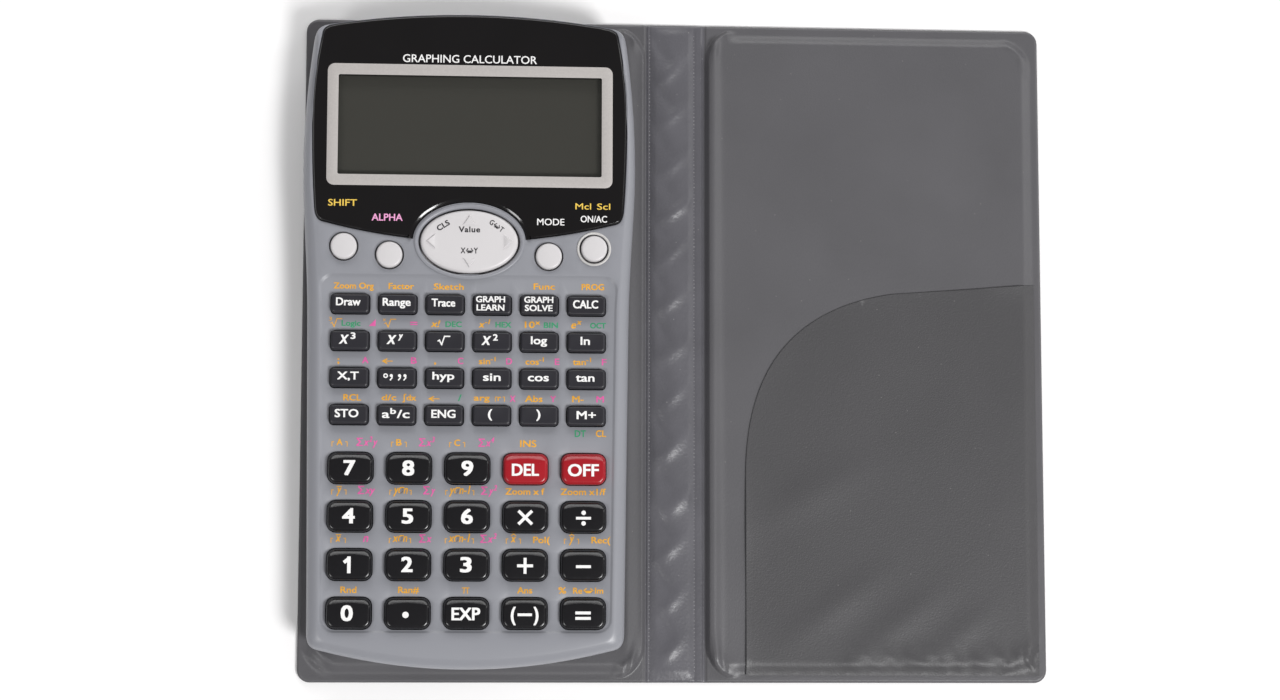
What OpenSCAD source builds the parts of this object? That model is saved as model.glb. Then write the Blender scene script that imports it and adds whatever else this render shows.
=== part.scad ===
// Graphing calculator lying in its open folding wallet.
// The origin is the middle of the wallet's underside. +X points to the loose cover of the wallet,
// +Y to the top of the calculator and +Z up. All sizes are in millimetres.

/* [Wallet] */
// Width of the open wallet
wallet_w = 176.8; // [176.6:0.2:182]
// Height of the wallet
wallet_h = 157.5; // [156.8:0.1:165]
// Distance between the two fold lines of the spine
spine_w = 15; // [14.8:0.1:16]
// Thickness of a padded panel
panel_t = 1.8; // [1.6:0.1:1.9]
// Width of the flat weld around a panel
weld_w = 2.4; // [1.6:0.1:3]

/* [Case] */
// Width of the case at its widest line
case_w = 78; // [77.6:0.1:78.2]
// Length of the case along its middle
case_l = 153.8; // [153.4:0.1:155]
// Depth of the rear case
rear_depth = 4.6; // [4.6:0.1:4.8]
// Depth of the front case
front_depth = 5.2; // [5.2:0.1:5.4]
// Depth of the sunk keypad field
field_depth = 0.5; // [0.3:0.1:0.6]

/* [Display] */
// Width of the display window
window_w = 61.7; // [58:0.1:62]
// Height of the display window
window_h = 23.6; // [20:0.1:24]
// Thickness of the black display panel
display_t = 1.6; // [1.4:0.1:1.7]

/* [Keys] */
// Width of a function key
function_w = 8.8; // [8:0.1:8.9]
// Height of a function key
function_h = 4.5; // [4.2:0.1:4.8]
// Width of a number key
number_w = 10.3; // [10:0.1:10.9]
// Height of a number key
number_h = 7.2; // [7:0.1:7.6]
// Diameter of a round button
round_d = 6.1; // [5.6:0.1:6.2]
// Width of the cursor pad
pad_w = 22.8; // [21:0.1:23]
// Height of the cursor pad
pad_h = 14.8; // [13:0.1:15]
// Gap between a key and its hole
key_gap = 0.2; // [0.18:0.01:0.25]

/* [Hidden] */
$fn = 48;
overlap = 0.2;

// Heights above the table
z_seat = panel_t;
z_split = z_seat + rear_depth;
z_face = z_split + front_depth;
z_deck = z_face - 2;
z_display = z_face - 1.1;
z_board = z_seat + 3.2;
z_rubber = z_board + 1.22;
z_flange = z_face - 3.2;
z_pad_flange = z_face - 3.7;

// The calculator's middle: flush with the wallet's outer edge, and a little nearer its top
case_x = -(wallet_w - case_w) / 2 + 0.2;
case_y = 1.2;
case_top = case_l / 2;
case_half = case_w / 2;

// Rows and columns, in the calculator's own frame
function_pitch = [10.99, 8.62];
function_top = 7.6;
number_pitch = [13.47, 11.13];
number_top = -30.6;
pad_y = 22.5;
outer_button = [29.2, 21.1];
inner_button = [18.6, 19.2];
window_y = 49.95;

function_names = [
    ["key_draw", "key_range", "key_trace", "key_learn", "key_solve", "key_calc"],
    ["key_cube", "key_power", "key_root", "key_square", "key_log", "key_ln"],
    ["key_xt", "key_dms", "key_hyp", "key_sin", "key_cos", "key_tan"],
    ["key_sto", "key_fraction", "key_eng", "key_open", "key_close", "key_mplus"]
];
number_names = [
    ["key_7", "key_8", "key_9", "key_del", "key_off"],
    ["key_4", "key_5", "key_6", "key_times", "key_divide"],
    ["key_1", "key_2", "key_3", "key_plus", "key_minus"],
    ["key_0", "key_point", "key_exp", "key_negative", "key_equals"]
];
round_buttons = [
    ["key_shift", [-outer_button.x, outer_button.y]],
    ["key_alpha", [-inner_button.x, inner_button.y]],
    ["key_mode", inner_button],
    ["key_on", outer_button]
];

// Every key as its name and the middle of its cap
function grid(names, pitch, top) = [
    for (row = [0 : len(names) - 1])
        for (column = [0 : len(names[row]) - 1])
            let (middle = (len(names[row]) - 1) / 2)
            [names[row][column], [(column - middle) * pitch.x, top - row * pitch.y]]
];
function_keys = grid(function_names, function_pitch, function_top);
number_keys = grid(number_names, number_pitch, number_top);

// Key heights and edges
function_rise = 0.9;
number_rise = 1.3;
button_rise = 1.2;
function_corner = 0.8;
number_corner = 1.9;
key_crown = 0.45;
flange_t = 1;
flange_lip = 0.5;
pad_gap = 0.45;
pad_rise = 1.2;
pad_crown = 0.6;
on_ring_w = 0.6;

// Fasteners, and the cells under the display
screw_places = [[-28, 69.5], [28, 69.5], [-27, -23.5], [27, -23.5], [-27, -69.8], [27, -69.8]];
board_bosses = [[-27, -23.5], [27, -23.5]];
boss_r = 1.6;
pilot_r = 0.8;
shank_r = 0.75;
head_r = 1.3;
cell_r = 10;
cell_t = 3.2;
cell_places = [[-21, 50], [21, 50]];
board_w = 66;
board_top = 33;
board_bottom = -67.5;

// ---- Curves ----

function bezier(p, t) =
    let (s = 1 - t)
    s * s * s * p[0] + 3 * s * s * t * p[1] + 3 * s * t * t * p[2] + t * t * t * p[3];
function bezier_points(p, steps) = [for (i = [0 : steps]) bezier(p, i / steps)];

// A whole outline, anticlockwise, from the points of its right half, from the top down
function mirrored(right) = concat(
    [for (p = right) [-p.x, p.y]],
    [for (i = [len(right) - 1 : -1 : 0]) right[i]]
);

function number_tint(name) = name == "key_del" || name == "key_off" ? "#a81f2b" : "#1f1e21";
function ellipse(a, b, steps = 56) = [
    for (i = [0 : steps - 1])
        let (angle = 360 * i / steps)
        [a * cos(angle), b * sin(angle)]
];

// A rectangle with round corners, centred, with steps + 1 points to a corner
function rounded(w, h, r, steps = 4) = [
    for (corner = [0 : 3])
        for (i = [0 : steps])
            let (angle = 90 * (corner + i / steps))
            let (side = [[1, 1], [-1, 1], [-1, -1], [1, -1]][corner])
            [side.x * (w / 2 - r) + r * cos(angle), side.y * (h / 2 - r) + r * sin(angle)]
];

// The case's outline, drawn in by inset: a shallow arch at the top, sides that swell beside the
// display and taper below it, and a deeper arch at the bottom.
top_arch_r = 198;
bottom_arch_r = 132;
function top_arch(x) = case_top - x * x / (2 * top_arch_r);
function bottom_arch(x) = -case_top + x * x / (2 * bottom_arch_r);
function case_right(inset) =
    let (side = case_half - inset, top = case_top - inset, arch_end = 33.4 - inset * 0.6)
    let (shoulder = [arch_end, top_arch(arch_end) - inset])
    let (foot = [arch_end, bottom_arch(arch_end) + inset])
    let (middle = case_top - 36)
    concat(
        [for (i = [0 : 5]) let (x = arch_end * (i + 0.5) / 6) [x, top_arch(x) - inset]],
        bezier_points(
            [shoulder, [side - 3.6, shoulder.y - 0.3], [side - 2.6, top - 4], [side - 2.2, top - 6.2]], 5),
        bezier_points(
            [[side - 1.85, case_top - 8.6], [side - 0.85, case_top - 16], [side, middle + 10],
             [side, middle]], 6),
        [for (i = [1 : 6])
            bezier([[side, middle], [side, case_top - 48], [side - 1.15, case_top - 56],
                    [side - 1.45, case_top - 72]], i / 6)],
        [for (i = [1 : 4]) [side - 1.45 - 0.85 * i / 4, case_top - 72 - 71 * i / 4]],
        bezier_points(
            [[side - 2.32, foot.y + 3], [side - 2.4, foot.y + 1.4], [side - 3.2, foot.y + 0.4], foot], 4),
        [for (i = [5 : -1 : 0]) let (x = arch_end * (i + 0.5) / 6) [x, bottom_arch(x) + inset]]
    );
function case_outline(inset) = mirrored(case_right(inset));

// The display panel's outline: it follows the case, and an arch is cut for the cursor pad.
arch_a = pad_w / 2 + 1.9;
arch_b = pad_h / 2 + 2;
function lower_edge(x) = pad_y + 0.1 + x * x / (2 * bottom_arch_r);
function panel_right(grow) =
    let (side = case_half - 2.15 + grow, corner = [side - 0.75, 30])
    concat(
        [for (i = [0 : 5]) let (x = 31.8 * (i + 0.5) / 6) [x, top_arch(x) - 0.45 + grow]],
        bezier_points([[32.6 + grow, top_arch(32.6) - 0.5 + grow], [33.8 + grow, 73.4 + grow],
                       [34.4 + grow, 73 + grow], [34.7 + grow, 72]], 4),
        [for (i = [1 : 5]) bezier([[34.7 + grow, 72], [35.7 + grow, 67], [side, 60], [side, 52]], i / 5)],
        [for (i = [1 : 5]) bezier([[side, 52], [side, 44], [side - 0.25, 37], corner], i / 5)],
        [for (i = [1 : 4]) bezier([corner, [corner.x - 0.2, 28.4], [corner.x - 0.7, lower_edge(35) - grow],
                                   [34.2, lower_edge(34.2) - grow]], i / 4)],
        [for (i = [5 : -1 : 0]) let (x = 14 + 3.4 * i) [x, lower_edge(x) - grow]],
        [for (i = [1 : 13]) let (angle = 6.5 * i)
            [(arch_a - grow) * cos(angle), pad_y + (arch_b - grow) * sin(angle)]]
    );

// ---- Solids ----

// A closed solid through rings of equal length around the origin, each a list of points at a height
module loft(outlines, heights) {
    n = len(outlines[0]);
    last = len(outlines) - 1;
    points = concat(
        [for (k = [0 : last]) for (p = outlines[k]) [p.x, p.y, heights[k]]],
        [[0, 0, heights[0]], [0, 0, heights[last]]]
    );
    sides = [
        for (k = [0 : last - 1])
            for (i = [0 : n - 1])
                let (j = (i + 1) % n)
                let (a = k * n + i, b = k * n + j, c = a + n, d = b + n)
                for (face = [[a, c, d], [a, d, b]])
                    face
    ];
    bottom = [for (i = [0 : n - 1]) [(last + 1) * n, i, (i + 1) % n]];
    top = [for (i = [0 : n - 1]) [(last + 1) * n + 1, last * n + (i + 1) % n, last * n + i]];
    polyhedron(points = points, faces = concat(bottom, sides, top));
}

module plate(outline, low, high) {
    translate([0, 0, low]) linear_extrude(high - low) polygon(outline);
}

module on_calculator() {
    translate([case_x, case_y, 0]) children();
}

// ---- Wallet ----

panel_inner = spine_w / 2 + 0.7;
panel_outer = wallet_w / 2;
panel_w = panel_outer - panel_inner;
weld_t = 0.7;
hinge_weld_w = 1.2;
corner_r = 3;
pad_corner_r = 6.5;
pocket_t = 0.3;

module wallet_panel() {
    translate([(panel_inner + panel_outer) / 2, 0, 0]) {
        plate(rounded(panel_w, wallet_h, corner_r), 0, weld_t);
        translate([(hinge_weld_w - weld_w) / 2, 0, 0])
            plate(
                rounded(panel_w - weld_w - hinge_weld_w, wallet_h - 2 * weld_w, pad_corner_r),
                weld_t / 2, panel_t
            );
    }
}

module wallet_back() {
    color("#5f5f62") mirror([1, 0, 0]) wallet_panel();
}

module wallet_spine() {
    color("#636366") {
        plate(rounded(spine_w - 1, wallet_h, 0.6), 0, 0.6);
        plate(rounded(spine_w - 3.4, wallet_h - 2 * weld_w, 2), 0.3, 0.9);
    }
}

// The pocket's sheet is welded to the cover along its outer and lower edges only
module wallet_cover() {
    right = panel_outer - 1.6;
    bottom = -wallet_h / 2 + 1.6;
    left = spine_w / 2 + 9.2;
    pocket_top = 16.2;
    sheet = concat(
        [[right, bottom], [right, pocket_top]],
        bezier_points([[52, 13.6], [28, 10], [left, -5], [left, -30]], 10),
        [[left, bottom]]
    );
    color("#5f5f62") {
        wallet_panel();
        plate(sheet, panel_t + 0.12, panel_t + pocket_t);
        for (seam = [[right - 1, 1, pocket_top - 0.2 - bottom], [left, right - left, 1]])
            translate([seam[0], bottom, weld_t / 2])
                cube([seam[1], seam[2], panel_t + pocket_t - weld_t / 2]);
    }
}

// ---- Calculator ----

cavity_inset = 2.4;

module rear_case() {
    insets = [2.6, 1.9, 1.2, 0.7, 0.5, 0.5];
    steps = [0, 0.25, 1, 2.3, 3.7, rear_depth];
    on_calculator() color("#55565a") difference() {
        loft([for (inset = insets) case_outline(inset)], [for (step = steps) z_seat + step]);
        plate(case_outline(cavity_inset), z_seat + 1.2, z_split + overlap);
        for (place = screw_places) translate([place.x, place.y, z_seat - overlap]) {
            cylinder(r = pilot_r + 0.1, h = rear_depth);
            cylinder(r = head_r + 0.2, h = 0.7 + overlap);
        }
    }
}

module key_holes() {
    low = z_deck - overlap;
    high = z_face + 1;
    for (key = function_keys) translate([key[1].x, key[1].y, 0])
        plate(
            rounded(function_w + 2 * key_gap, function_h + 2 * key_gap, function_corner + key_gap), low, high
        );
    for (key = number_keys) translate([key[1].x, key[1].y, 0])
        plate(
            rounded(number_w + 2 * key_gap, number_h + 2 * key_gap, number_corner + key_gap), low, high
        );
    for (button = round_buttons) translate([button[1].x, button[1].y, low])
        cylinder(d = round_d + 0.7, h = high - low);
    translate([0, pad_y, 0]) plate(ellipse(pad_w / 2 + pad_gap, pad_h / 2 + pad_gap), low, high);
}

module front_case() {
    insets = [0.5, 0.1, 0, 0.25, 0.75, 1.35, 2];
    steps = [0, 0.6, 2, 3.2, 4.2, 4.85, front_depth];
    field = [68.4, 83.4];
    field_y = -26.9;
    on_calculator() color("#8e8f94") difference() {
        union() {
            difference() {
                loft([for (inset = insets) case_outline(inset)], [for (step = steps) z_split + step]);
                plate(case_outline(cavity_inset), z_split - overlap, z_deck);
                translate([0, field_y, 0])
                    plate(rounded(field.x, field.y, 5), z_face - field_depth, z_face + 1);
                plate(mirrored(panel_right(0.1)), z_display, z_face + 1);
                translate([0, window_y, 0])
                    plate(rounded(window_w + 3.6, window_h + 3.6, 1), z_deck - 1, z_face);
            }
            translate([0, pad_y, 0])
                plate(ellipse(pad_w / 2 + 1.6, pad_h / 2 + 1.6), z_face - overlap, z_face + 0.35);
            translate([outer_button.x, outer_button.y, z_face - overlap])
                cylinder(d = round_d + 0.7 + 2 * on_ring_w, h = overlap + 0.35);
            for (place = screw_places) translate([place.x, place.y, z_seat + 1.25])
                cylinder(r = boss_r, h = z_deck - z_seat - 1.25 + overlap);
        }
        key_holes();
        for (place = screw_places) translate([place.x, place.y, z_seat]) cylinder(r = pilot_r, h = 7);
    }
}

// One clear sheet, printed black behind all but the window, which is thinned to clear the glass cell
module display_panel() {
    window_t = 0.6;
    on_calculator() color("#111113") difference() {
        plate(mirrored(panel_right(0)), z_display, z_display + display_t);
        translate([0, window_y, 0])
            plate(rounded(window_w, window_h, 0.6), z_display - 1, z_display + display_t - window_t);
    }
}

// The glass cell sits on its carrier, and a flat tail runs from it to the circuit board
module lcd_module() {
    on_calculator() {
        color("#3e3f3a") translate([0, window_y, 0])
            plate(rounded(window_w + 2.4, window_h + 2.4, 0.5), z_display - 1.7, z_display - 0.1);
        color("#6b6f66") translate([0, window_y, 0])
            plate(rounded(window_w + 4.4, window_h + 4.4, 1), z_display - 2.4, z_display - 1.7);
        color("#9a7a3c") translate([-15, board_top - 1.7, 0]) {
            translate([0, 0, z_display - 2.35]) cube([30, 7, 0.2]);
            translate([0, 0, z_board + 1.25]) cube([30, 0.3, z_display - 2.25 - z_board - 1.25]);
        }
    }
}

module circuit_board() {
    on_calculator() color("#2f6b45") {
        difference() {
            translate([-board_w / 2, board_bottom, z_board]) cube([board_w, board_top - board_bottom, 1.2]);
            for (place = board_bosses) translate([place.x, place.y, z_board - 1])
                cylinder(r = boss_r + 0.3, h = 4);
            for (side = [-1, 1]) translate([side * board_w / 2, board_bottom, z_board - 1])
                cylinder(r = 4, h = 4);
        }
        // The bonded chip and its small parts are under the board
        translate([-4, -8, z_board - 1.2]) cylinder(r1 = 3.2, r2 = 4.6, h = 1.2 + 0.1);
        for (x = [-16, 12, 20]) translate([x, -12, z_board - 0.8]) cube([3, 1.6, 0.9]);
    }
}

// One moulded sheet, with a hollow dome under each key and four under the cursor pad
module keypad_rubber() {
    web_top = z_rubber + 0.6;
    pad_domes = [[-8, 0], [8, 0], [0, -4.5], [0, 4.5]];
    module dome(top) {
        translate([0, 0, web_top - 0.1]) cylinder(r1 = 2, r2 = 1.3, h = top - web_top + 0.1);
    }
    on_calculator() color("#c9c6bd") {
        difference() {
            translate([-board_w / 2 + 0.5, board_bottom + 1, z_rubber])
                cube([board_w - 1, board_top - board_bottom - 3.5, web_top - z_rubber]);
            for (place = board_bosses) translate([place.x, place.y, z_rubber - 1])
                cylinder(r = boss_r + 0.3, h = 3);
        }
        for (key = concat(round_buttons, function_keys, number_keys))
            translate([key[1].x, key[1].y, 0]) dome(z_flange - 0.05);
        for (place = pad_domes) translate([place.x, pad_y + place.y, 0]) dome(z_pad_flange - 0.05);
    }
}

module battery_cells() {
    on_calculator() color("silver") for (place = cell_places)
        translate([place.x, place.y, z_seat + 1.25]) {
            cylinder(r = cell_r, h = cell_t - 0.6);
            translate([0, 0, cell_t - 0.7]) cylinder(r = cell_r - 1.2, h = 0.7);
        }
}

module case_screws() {
    on_calculator() color("#b9babc") for (place = screw_places)
        translate([place.x, place.y, z_seat + 0.1]) difference() {
            union() {
                cylinder(r = head_r, h = 0.6);
                translate([0, 0, 0.5]) cylinder(r = shank_r, h = 5.5);
            }
            for (turn = [0, 90]) rotate(turn) translate([-0.8, -0.15, -0.1]) cube([1.6, 0.3, 0.45]);
        }
}

// ---- Keys ----

// A flange that the case holds down, a straight stem and a crown that draws in to the top
module key(place, w, h, corner, rise, tint) {
    stem_top = z_face + rise - key_crown;
    on_calculator() color(tint) translate([place.x, place.y, 0]) {
        plate(rounded(w + 2 * flange_lip, h + 2 * flange_lip, corner), z_flange, z_flange + flange_t);
        loft(
            [rounded(w, h, corner), rounded(w, h, corner), rounded(w - 0.6, h - 0.6, corner - 0.1)],
            [z_flange + flange_t / 2, stem_top, stem_top + key_crown]
        );
    }
}

module round_button(place) {
    crown = 0.4;
    stem_low = z_flange + flange_t / 2;
    stem_top = z_face + button_rise - crown;
    on_calculator() color("#e3dfdf") translate([place.x, place.y, 0]) {
        translate([0, 0, z_flange]) cylinder(d = round_d + 1.7, h = flange_t);
        translate([0, 0, stem_low]) cylinder(d = round_d, h = stem_top - stem_low);
        translate([0, 0, stem_top]) cylinder(d1 = round_d, d2 = round_d - 2 * crown, h = crown);
    }
}

// The pad rocks on its four domes. Raised arrowheads mark its four directions.
module cursor_pad() {
    a = pad_w / 2;
    b = pad_h / 2;
    top = z_face + pad_rise;
    arrow_x = a - 2.2;
    arrow_y = b - 1.6;
    arrows = [[arrow_x, 0, -90], [-arrow_x, 0, 90], [0, arrow_y, 0], [0, -arrow_y, 180]];
    on_calculator() color("#dedcdc") translate([0, pad_y, 0]) {
        plate(ellipse(a + 1, b + 1), z_pad_flange, z_pad_flange + 0.8);
        loft(
            [ellipse(a, b), ellipse(a, b), ellipse(a - 0.5, b - 0.5)],
            [z_pad_flange + 0.4, top - pad_crown, top - 0.2]
        );
        for (arrow = arrows) translate([arrow.x, arrow.y, 0]) rotate(arrow.z)
            plate([[-1.3, -0.9], [1.3, -0.9], [0, 1]], top - 0.3, top);
    }
}

// ---- Nodes ----

wallet_back();
wallet_spine();
wallet_cover();
rear_case();
front_case();
display_panel();
lcd_module();
circuit_board();
keypad_rubber();
battery_cells();
case_screws();
cursor_pad();
for (button = round_buttons)
    round_button(button[1]);
for (entry = function_keys)
    key(entry[1], function_w, function_h, function_corner, function_rise, "#2f3138");
for (entry = number_keys)
    key(entry[1], number_w, number_h, number_corner, number_rise, number_tint(entry[0]));
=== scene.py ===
import math
import random

import bpy
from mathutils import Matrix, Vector
from mathutils.geometry import delaunay_2d_cdt


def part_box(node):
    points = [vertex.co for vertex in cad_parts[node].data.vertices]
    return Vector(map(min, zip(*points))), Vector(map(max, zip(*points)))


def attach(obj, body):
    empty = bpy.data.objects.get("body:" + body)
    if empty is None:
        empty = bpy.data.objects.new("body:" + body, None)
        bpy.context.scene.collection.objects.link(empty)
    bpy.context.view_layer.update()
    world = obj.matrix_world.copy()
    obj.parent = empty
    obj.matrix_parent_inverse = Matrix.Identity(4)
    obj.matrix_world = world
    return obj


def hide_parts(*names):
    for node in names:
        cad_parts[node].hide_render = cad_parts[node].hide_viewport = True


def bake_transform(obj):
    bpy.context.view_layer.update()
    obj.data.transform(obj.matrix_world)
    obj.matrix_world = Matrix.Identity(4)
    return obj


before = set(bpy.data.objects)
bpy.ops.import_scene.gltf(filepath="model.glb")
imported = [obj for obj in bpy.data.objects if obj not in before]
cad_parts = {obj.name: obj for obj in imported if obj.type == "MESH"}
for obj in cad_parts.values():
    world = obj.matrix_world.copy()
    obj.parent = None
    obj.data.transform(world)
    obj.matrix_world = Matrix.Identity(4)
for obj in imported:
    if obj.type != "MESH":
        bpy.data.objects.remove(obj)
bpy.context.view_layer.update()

random.seed(8)

# Every length below is in millimetres, and becomes metres when a mesh is made.
MM = 0.001

# ---- Heights and sizes, as the CAD has them ----

case_low, case_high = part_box("front_case")
CASE_X = (case_low.x + case_high.x) / 2 / MM
CASE_Y = (case_low.y + case_high.y) / 2 / MM
CASE_HALF = (case_high.x - case_low.x) / 2 / MM
CASE_TOP = (case_high.y - case_low.y) / 2 / MM
SPLIT_Z = 6.4
DECK_Z = 9.6
RECESS_Z = 10.5
FIELD_Z = 11.1
FACE_Z = 11.6
PANEL_Z = 12.1
PAD_Y = 22.5
WINDOW_Y = 49.95
WINDOW = (61.7, 23.6)
PAD_HALF = (11.4, 7.4)
FUNCTION_CAP = (8.8, 4.5, 0.8)
NUMBER_CAP = (10.3, 7.2, 1.9)
KEY_GAP = 0.2
BUTTON_R = 3.05
BUTTON_GAP = 0.35
FLANGE = 0.5
WALL = 2.4
# Twice the radii of the case's two arched ends
TOP_BOW = 396
BOTTOM_BOW = 264


# ---- Materials ----

def linear(*rgb):
    """A display colour from 0 to 255 as the linear colour that the shaders take."""
    parts = [value / 255 for value in rgb]
    return [p / 12.92 if p < 0.04045 else ((p + 0.055) / 1.055) ** 2.4 for p in parts] + [1]


def material(name, rgb, roughness, grain=2500, bump=0.02, mottle=0.06, blotch=60, spread=0.06, **sockets):
    """A moulded or printed finish: soft colour blotches, and a fine grain in the gloss and the bump."""
    made = bpy.data.materials.new(name)
    made.use_nodes = True
    nodes = made.node_tree.nodes
    links = made.node_tree.links
    shader = nodes["Principled BSDF"]
    place = nodes.new("ShaderNodeTexCoord")

    patches = nodes.new("ShaderNodeTexNoise")
    patches.inputs["Scale"].default_value = blotch
    patches.inputs["Detail"].default_value = 3
    ramp = nodes.new("ShaderNodeValToRGB")
    colour = linear(*rgb)
    ramp.color_ramp.elements[0].position = 0.3
    ramp.color_ramp.elements[1].position = 0.7
    ramp.color_ramp.elements[0].color = [c * (1 - mottle) for c in colour[:3]] + [1]
    ramp.color_ramp.elements[1].color = [min(1, c * (1 + mottle)) for c in colour[:3]] + [1]
    links.new(place.outputs["Object"], patches.inputs["Vector"])
    links.new(patches.outputs["Fac"], ramp.inputs["Fac"])
    links.new(ramp.outputs["Color"], shader.inputs["Base Color"])

    fine = nodes.new("ShaderNodeTexNoise")
    fine.inputs["Scale"].default_value = grain
    fine.inputs["Detail"].default_value = 4
    gloss = nodes.new("ShaderNodeMapRange")
    gloss.inputs["To Min"].default_value = max(0.02, roughness - spread)
    gloss.inputs["To Max"].default_value = roughness + spread
    relief = nodes.new("ShaderNodeBump")
    relief.inputs["Strength"].default_value = 1
    relief.inputs["Distance"].default_value = bump * MM
    links.new(place.outputs["Object"], fine.inputs["Vector"])
    links.new(fine.outputs["Fac"], gloss.inputs["Value"])
    links.new(gloss.outputs["Result"], shader.inputs["Roughness"])
    links.new(fine.outputs["Fac"], relief.inputs["Height"])
    links.new(relief.outputs["Normal"], shader.inputs["Normal"])
    for socket, value in sockets.items():
        shader.inputs[socket.replace("_", " ")].default_value = value
    return made


def add_dust(made, rgb, size, share):
    """Scattered light specks, as lint and wear leave on dark vinyl."""
    nodes = made.node_tree.nodes
    links = made.node_tree.links
    shader = nodes["Principled BSDF"]
    under = shader.inputs["Base Color"].links[0].from_socket
    place = nodes.new("ShaderNodeTexCoord")
    cells = nodes.new("ShaderNodeTexVoronoi")
    cells.inputs["Scale"].default_value = size
    speck = nodes.new("ShaderNodeMapRange")
    speck.inputs["From Min"].default_value = share
    speck.inputs["From Max"].default_value = share * 0.6
    mixer = nodes.new("ShaderNodeMix")
    mixer.data_type = "RGBA"
    mixer.inputs["B"].default_value = linear(*rgb)
    links.new(place.outputs["Object"], cells.inputs["Vector"])
    links.new(cells.outputs["Distance"], speck.inputs["Value"])
    links.new(speck.outputs["Result"], mixer.inputs["Factor"])
    links.new(under, mixer.inputs["A"])
    links.new(mixer.outputs["Result"], shader.inputs["Base Color"])


vinyl = material("vinyl", (86, 85, 88), 0.42, grain=2600, bump=0.05, mottle=0.07, blotch=35)
add_dust(vinyl, (112, 110, 111), 260, 0.045)
spine_vinyl = material("spine_vinyl", (89, 88, 93), 0.36, grain=1500, bump=0.07, mottle=0.09, blotch=90)
add_dust(spine_vinyl, (130, 128, 130), 320, 0.05)
pocket_vinyl = material("pocket_vinyl", (68, 67, 69), 0.46, grain=2600, bump=0.06, mottle=0.06, blotch=30)
add_dust(pocket_vinyl, (104, 102, 102), 260, 0.045)
case_plastic = material("case_plastic", (139, 140, 146), 0.36, grain=4200, bump=0.006, mottle=0.02, blotch=25)
rear_plastic = material("rear_plastic", (84, 85, 90), 0.5, grain=3800, bump=0.02, mottle=0.03)
rim_plastic = material("rim_plastic", (196, 194, 192), 0.3, grain=4200, bump=0.006, mottle=0.02)
panel_black = material("panel_black", (16, 14, 15), 0.12, grain=900, bump=0.002, mottle=0.1, spread=0.03)
frame_silver = material("frame_silver", (182, 177, 174), 0.5, grain=7000, bump=0.02, mottle=0.05, blotch=2600,
                        Metallic=0.15)
lcd_glass = material("lcd_glass", (63, 62, 57), 0.35, grain=1500, bump=0.002, mottle=0.02, blotch=12)
lens_clear = material("lens_clear", (60, 60, 56), 0.08, grain=600, bump=0.001, mottle=0.02, spread=0.02,
                      Alpha=0.12)
function_plastic = material("function_plastic", (35, 34, 40), 0.4, grain=5200, bump=0.008, mottle=0.05,
                            blotch=150)
number_plastic = material("number_plastic", (18, 17, 20), 0.24, grain=1500, bump=0.003, mottle=0.1,
                          blotch=150, spread=0.04)
red_plastic = material("red_plastic", (158, 22, 33), 0.26, grain=1500, bump=0.003, mottle=0.05, blotch=150,
                       spread=0.04)
button_white = material("button_white", (206, 203, 204), 0.36, grain=3000, bump=0.004, mottle=0.015,
                        blotch=120)
board_green = material("board_green", (38, 92, 60), 0.4, grain=800, bump=0.03, mottle=0.2, blotch=300)
rubber = material("contact_rubber", (196, 193, 184), 0.7, grain=2500, bump=0.02, mottle=0.04)
cell_steel = material("cell_steel", (190, 190, 192), 0.28, grain=3000, bump=0.01, mottle=0.05, Metallic=1.0)
screw_steel = material("screw_steel", (170, 171, 174), 0.32, grain=3000, bump=0.01, mottle=0.05, Metallic=1.0)
weld_vinyl = material("weld_vinyl", (136, 134, 137), 0.3, grain=2600, bump=0.03, mottle=0.15, blotch=900)
# The printing inks: their colours, and how blotchy they are
INK_COLOURS = {
    "white": ((236, 235, 234), 0.03), "orange": ((226, 164, 46), 0.12), "yellow": ((232, 196, 84), 0.06),
    "pink": ((216, 92, 158), 0.12), "green": ((52, 148, 104), 0.12), "black": ((36, 34, 38), 0.1),
    "blush": ((232, 160, 204), 0.06),
}
INKS = {ink: material("print_" + ink, rgb, 0.45, grain=5000, bump=0.004, mottle=mottle, blotch=900)
        for ink, (rgb, mottle) in INK_COLOURS.items()}


# ---- Outlines, as lists of (x, y) points, anticlockwise ----

def bezier(p, t):
    s = 1 - t
    weights = (s ** 3, 3 * s * s * t, 3 * s * t * t, t ** 3)
    return tuple(sum(w * q[axis] for w, q in zip(weights, p)) for axis in (0, 1))


def mirrored(right):
    """A whole outline from the points of its right half, from the top down."""
    return [(-x, y) for x, y in right] + right[::-1]


def top_arch(x):
    return CASE_TOP - x * x / TOP_BOW


def bottom_arch(x):
    return -CASE_TOP + x * x / BOTTOM_BOW


def case_right(inset):
    side = CASE_HALF - inset
    top = CASE_TOP - inset
    end = 33.4 - inset * 0.6
    shoulder = (end, top_arch(end) - inset)
    foot = (end, bottom_arch(end) + inset)
    middle = CASE_TOP - 36
    runs = [
        (9, [shoulder, (side - 3.6, shoulder[1] - 0.3), (side - 2.6, top - 4), (side - 2.2, top - 6.2)]),
        (9, [(side - 2.02, CASE_TOP - 7.4), (side - 0.85, CASE_TOP - 16), (side, CASE_TOP - 26),
             (side, middle)]),
        (9, [(side, middle - 1), (side, CASE_TOP - 48), (side - 1.15, CASE_TOP - 56),
             (side - 1.45, CASE_TOP - 72)]),
        (9, [(side - 1.47, CASE_TOP - 74), (side - 1.75, CASE_TOP - 97), (side - 2.02, CASE_TOP - 120),
             (side - 2.3, CASE_TOP - 143)]),
        (9, [(side - 2.31, foot[1] + 4), (side - 2.4, foot[1] + 1.4), (side - 3.2, foot[1] + 0.4), foot]),
    ]
    count = 12
    arch = [end * (i + 0.5) / count for i in range(count)]
    points = [(x, top_arch(x) - inset) for x in arch]
    for steps, curve in runs:
        points += [bezier(curve, i / steps) for i in range(steps + 1)]
    return points + [(x, bottom_arch(x) + inset) for x in arch[::-1]]


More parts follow.
